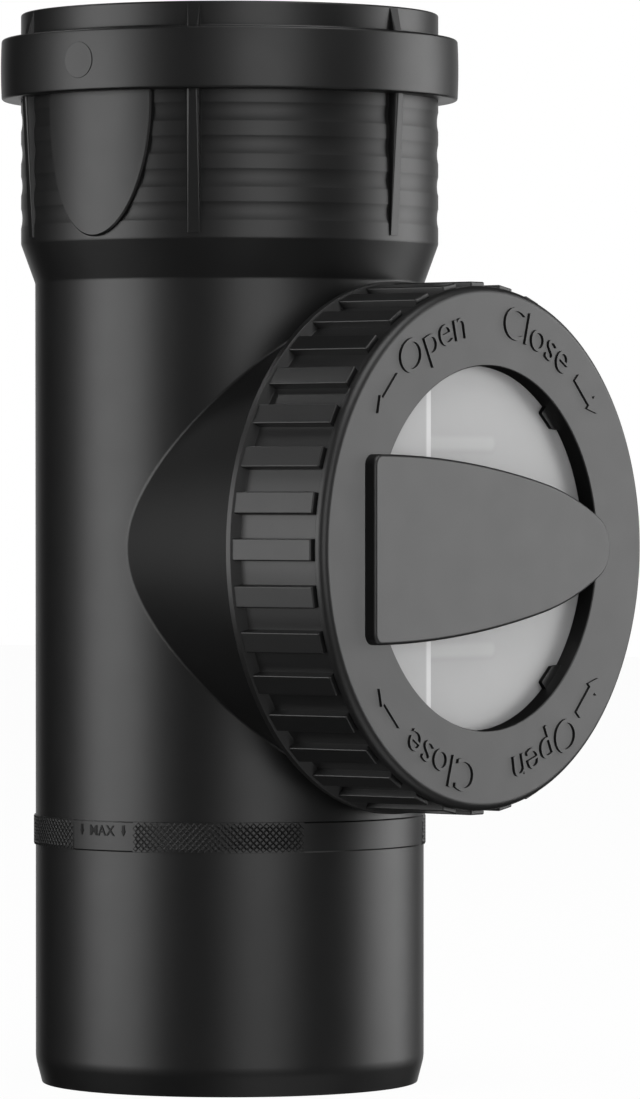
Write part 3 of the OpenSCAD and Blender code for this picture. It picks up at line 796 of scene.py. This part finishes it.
def plugSection():
    low, high = plug["sealAt"] - plug["grooveHalf"], plug["sealAt"] + plug["grooveHalf"]
    outer, inner, groove, step = plug["outerR"], plug["innerR"], plug["grooveR"], plug["stepR"]
    foot, edge, stepTop = plug["skirtFoot"], plug["footEdge"], high + plug["stepWall"]
    fine, discEdge = plug["fineRound"], plug["discRound"]
    return rounded([
        (0, plug["discFront"]), (0, plug["rim"]), (inner, plug["rim"], plug["innerRound"]),
        (inner, stepTop + edge), (step, stepTop), (step, foot + 2.5 * edge), (inner, foot + 1.5 * edge),
        (inner, foot), (outer - edge, foot), (outer, foot + edge), (outer, low, fine), (groove, low, fine),
        (groove, high, fine), (outer, high, fine), (outer, plug["rim"]), (plug["discR"], plug["rim"], discEdge),
        (plug["discR"], plug["discFront"], discEdge)])


def plugRibs():
    low, high = plug["rim"] - plug["ribHigh"], plug["rim"] + 1
    tall = sqrt(plug["innerR"] ** 2 - (plug["spineX"] + plug["spineWide"]) ** 2) - 1
    x, half, wide = plug["spineX"], plug["spineWide"] / 2, plug["levelWide"] / 2
    end = plug["levelLong"] - x - wide
    spine = [(-x - half, -tall), (half - x, -tall), (half - x, tall), (-x - half, tall)]
    made = [prism("rib", spine, low, high, onBranch)]
    for side in (-1, 1):
        outline = [(-x, side * plug["levelZ"] + wide), (-x, side * plug["levelZ"] - wide)]
        outline += arcPoints(end, side * plug["levelZ"], wide, -pi / 2, pi / 2, 16)
        made.append(prism("rib", outline, low, high, onBranch))
    return made


windowPlug = lathe("windowPlug", plugSection(), onBranch)
for ribPiece in plugRibs():
    combine(windowPlug, ribPiece, "UNION")


# paintedSpineLight is the tone of the painted light line along the spine rib behind the disc
window = dict(tone=0.295, leftTone=0.33, paintedSpineLight=0.55, spineShow=0.7, outside=80, clouding=0.05,
              roughness=0.32, dulling=0.06, grain=0.6, grainHeight=0.004, milky=0.35, milkyDeep=2)
paintedRibShading = [  # painted shade and painted light: a painted shaded band, then a painted lit one a little higher
    dict(shift=-0.7, soft=1.0, tone=0.28),
    dict(shift=0.5, soft=1.2, tone=0.335),
]


def windowMaterial():
    # milky plastic with painted light and shade: where the level ribs behind the disc show through it gets painted
    # shaded and lit bands, and the spine a painted light line
    material, shader, make, links = newMaterial("milky window plastic")
    where = make("ShaderNodeTexCoord").outputs["Object"]
    axes = make("ShaderNodeSeparateXYZ", {"Vector": where}).outputs

    def band(value, low, high, softLow, softHigh):
        sizes = {"From": low * mm, "To": high * mm, "Soft Start": softLow * mm, "Soft End": softHigh * mm}
        return make("ShaderNodeGroup", {"Value": value, **sizes}, node_tree=softBand).outputs["Mask"]

    def mixed(mask, under, tone):
        over = (tone, tone, tone * 1.005, 1)
        return make("ShaderNodeMix", {0: mask, 6: under, 7: over}, data_type="RGBA").outputs[2]

    def math(operation, first, second):
        return make("ShaderNodeMath", {0: first, 1: second}, operation=operation).outputs[0]

    x, outside, half = plug["spineX"], window["outside"], plug["levelWide"] / 2
    plain = window["tone"]
    leftPart = band(axes["X"], -outside, -x, 1, 0.5)
    tone = mixed(leftPart, (plain, plain, plain * 1.005, 1), window["leftTone"])
    for side in (-1, 1):
        level = branchZ + side * plug["levelZ"]
        past = math("MAXIMUM", math("SUBTRACT", axes["X"], (plug["levelLong"] - x - half) * mm), 0.0)
        begun = band(axes["X"], -x + 1, outside, 1, 1)
        # each level rib gets a painted shaded band and a painted lit band a little higher
        for look in paintedRibShading:
            off = math("SUBTRACT", axes["Z"], (level + look["shift"]) * mm)
            both = make("ShaderNodeCombineXYZ", {0: past, 1: off}).outputs[0]
            away = make("ShaderNodeVectorMath", {0: both}, operation="LENGTH").outputs["Value"]
            inside = band(away, -1, half - look["soft"], 0.5, look["soft"] * 1.6)
            tone = mixed(math("MULTIPLY", inside, begun), tone, look["tone"])
    # a painted light line along the spine rib behind the disc
    show = window["spineShow"]
    tone = mixed(band(axes["X"], -x - show, -x + show, 1.0, 0.2), tone, window["paintedSpineLight"])
    skin = make("ShaderNodeGroup", {
        "Color": tone, "Clouding": window["clouding"], "Roughness": window["roughness"],
        "Dulling": window["dulling"], "Grain Size": window["grain"] * mm,
        "Grain Height": window["grainHeight"] * mm}, node_tree=mouldedSkin)
    wearSkin(shader, skin, links)
    shader.inputs["Subsurface Weight"].default_value = window["milky"]
    shader.inputs["Subsurface Radius"].default_value = (1.0, 1.0, 1.0)
    shader.inputs["Subsurface Scale"].default_value = window["milkyDeep"] * mm
    return material


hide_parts("window_plug")
finished(windowPlug, "plug", windowMaterial())
windowPlug.visible_glossy = False  # the ring's wall round the pale disc stays dark

for nodeName in ("socket_seal", "plug_seal"):
    seal = frame["nodes"][nodeName]
    seal.data.materials.clear()
    seal.data.materials.append(blackRubber)
print("seals keep their frame shape")


# studio

studio = dict(cameraAzimuth=-50.4, cameraRise=0.5, cameraAway=1900, lookHigh=150.7, focalPixels=6700,
              pictureWide=640, pictureHigh=1099, axisPixel=229.8, sensor=36)
floorLook = dict(halfMetres=4.0, color=0.9, speckle=1.04, speckleScale=60, roughness=0.9, white=0.97)
paper = dict(behindFrom=0.86, behindTo=0.99, fadeFrom=0.25, fadeTo=0.6, least=0.006, ambient=0.25)
softBoxes = [  # turn is in degrees to the right of the camera, rise above the branch, glow is the radiance
    dict(name="left box", turn=-70.3, rise=5, away=1500, wide=1170, high=1000, glow=3.2),
    dict(name="front box", turn=17.8, rise=5, away=1600, wide=900, high=1000, glow=2.15),
    dict(name="right box", turn=106, rise=5, away=1500, wide=1080, high=1000, glow=3.25),
    dict(name="top box", turn=42, rise=60, away=1500, wide=1300, high=900, glow=2.9),
    dict(name="low box", turn=42, rise=-58, away=1500, wide=1500, high=1000, glow=0.85),
    dict(name="rear box", turn=-121, rise=50, away=1500, wide=280, high=220, glow=11),
]


def turned(turn):
    # unit vector that far to the right of the camera's own direction, seen from the object
    a = radians(studio["cameraAzimuth"])
    toCamera, toRight = Vector((sin(a), -cos(a), 0)), Vector((cos(a), sin(a), 0))
    return toCamera * cos(radians(turn)) + toRight * sin(radians(turn))


def addCamera():
    data = bpy.data.cameras.new("camera")
    data.sensor_width = studio["sensor"]
    data.lens = studio["sensor"] * studio["focalPixels"] / studio["pictureHigh"]
    camera = linked("camera", data)
    rise, up = radians(studio["cameraRise"]), Vector((0, 0, 1))
    away = turned(0) * cos(rise) + up * sin(rise)
    camera.location = (away * studio["cameraAway"] + up * studio["lookHigh"]) * mm
    aside = atan2(studio["pictureWide"] / 2 - studio["axisPixel"], studio["focalPixels"])
    look = (turned(180) * cos(aside) + turned(90) * sin(aside)) * cos(rise) - up * sin(rise)
    camera.rotation_mode = "QUATERNION"
    camera.rotation_quaternion = look.to_track_quat("-Z", "Y")
    bpy.context.scene.camera = camera


def addSoftBox(settings):
    data = bpy.data.lights.new(settings["name"], "AREA")
    data.shape = "RECTANGLE"
    data.size, data.size_y = settings["wide"] * mm, settings["high"] * mm
    data.energy = settings["glow"] * pi * data.size * data.size_y
    box = linked(settings["name"], data)
    rise = radians(settings["rise"])
    way = turned(settings["turn"]) * cos(rise) + Vector((0, 0, 1)) * sin(rise)
    box.location = (way * settings["away"] + Vector((0, 0, branchZ))) * mm
    box.rotation_mode = "QUATERNION"
    box.rotation_quaternion = (-way).to_track_quat("-Z", "Y")


def addFloor():
    half, pale = floorLook["halfMetres"], floorLook["color"]
    lighter = pale * floorLook["speckle"]
    floor = solid("floor", [(-half, -half, 0), (half, -half, 0), (half, half, 0), (-half, half, 0)],
                  [[0, 1, 2, 3]], Matrix.Identity(4))
    material, shader, make, links = newMaterial("pale floor")
    speckle = make("ShaderNodeTexNoise", {"Scale": floorLook["speckleScale"], "Detail": 3})
    tone = make("ShaderNodeMix", {0: speckle.outputs["Fac"], 6: (pale, pale, pale, 1),
                                  7: (lighter, lighter, lighter, 1)}, data_type="RGBA").outputs[2]
    links.new(tone, shader.inputs["Base Color"])
    shader.inputs["Roughness"].default_value = floorLook["roughness"]
    rays = make("ShaderNodeLightPath").outputs
    seen = make("ShaderNodeMath", {0: rays["Is Camera Ray"], 1: rays["Is Glossy Ray"]}, operation="ADD")
    seen = make("ShaderNodeMath", {0: seen.outputs[0], 1: rays["Is Transmission Ray"]}, operation="ADD")
    share = make("ShaderNodeMath", {0: seen.outputs[0], 1: floorLook["white"]}, operation="MULTIPLY",
                 use_clamp=True)
    white = make("ShaderNodeEmission", {"Color": (1, 1, 1, 1), "Strength": 1.0})
    both = make("ShaderNodeMixShader", {0: share.outputs[0], 1: shader.outputs[0], 2: white.outputs[0]})
    output = next(n for n in material.node_tree.nodes if n.type == "OUTPUT_MATERIAL")
    links.new(both.outputs[0], output.inputs["Surface"])
    floor.data.materials.append(material)
    floor.visible_glossy = False
    floor.visible_shadow = False


def addBackdrop():
    # white paper all round for the camera; in reflections it is white behind and fades up and down
    world = bpy.data.worlds.new("paper")
    world.use_nodes = True
    bpy.context.scene.world = world
    make, links = nodeMaker(world.node_tree), world.node_tree.links
    background = world.node_tree.nodes["Background"]
    way = make("ShaderNodeTexCoord").outputs["Generated"]
    behind = tuple(turned(180))
    facing = make("ShaderNodeVectorMath", {0: way, 1: behind}, operation="DOT_PRODUCT").outputs["Value"]
    height = make("ShaderNodeSeparateXYZ", {"Vector": way}).outputs["Z"]
    level = make("ShaderNodeMath", {0: height}, operation="ABSOLUTE").outputs[0]
    sideways = make("ShaderNodeMapRange", {"Value": facing, "From Min": paper["behindFrom"],
                                           "From Max": paper["behindTo"]},
                    interpolation_type="SMOOTHSTEP").outputs[0]
    upDown = make("ShaderNodeMapRange", {"Value": level, "From Min": paper["fadeFrom"],
                                         "From Max": paper["fadeTo"], "To Min": 1, "To Max": 0},
                  interpolation_type="SMOOTHSTEP").outputs[0]
    white = make("ShaderNodeMath", {0: sideways, 1: upDown}, operation="MULTIPLY").outputs[0]
    glow = make("ShaderNodeMapRange", {"Value": white, "To Min": paper["least"], "To Max": 1.0}).outputs[0]
    rays = make("ShaderNodeLightPath").outputs
    mirrored = make("ShaderNodeMath", {0: rays["Is Glossy Ray"], 1: rays["Is Transmission Ray"]},
                    operation="MAXIMUM").outputs[0]
    seen = make("ShaderNodeMix", {0: mirrored, 2: paper["ambient"], 3: glow}, data_type="FLOAT").outputs[0]
    final = make("ShaderNodeMix", {0: rays["Is Camera Ray"], 2: seen, 3: 1.0}, data_type="FLOAT").outputs[0]
    background.inputs["Color"].default_value = (1, 1, 1, 1)
    links.new(final, background.inputs["Strength"])


addCamera()
for settings in softBoxes:
    addSoftBox(settings)
addFloor()
addBackdrop()
bpy.context.scene.view_settings.view_transform = "Standard"
print("studio set")
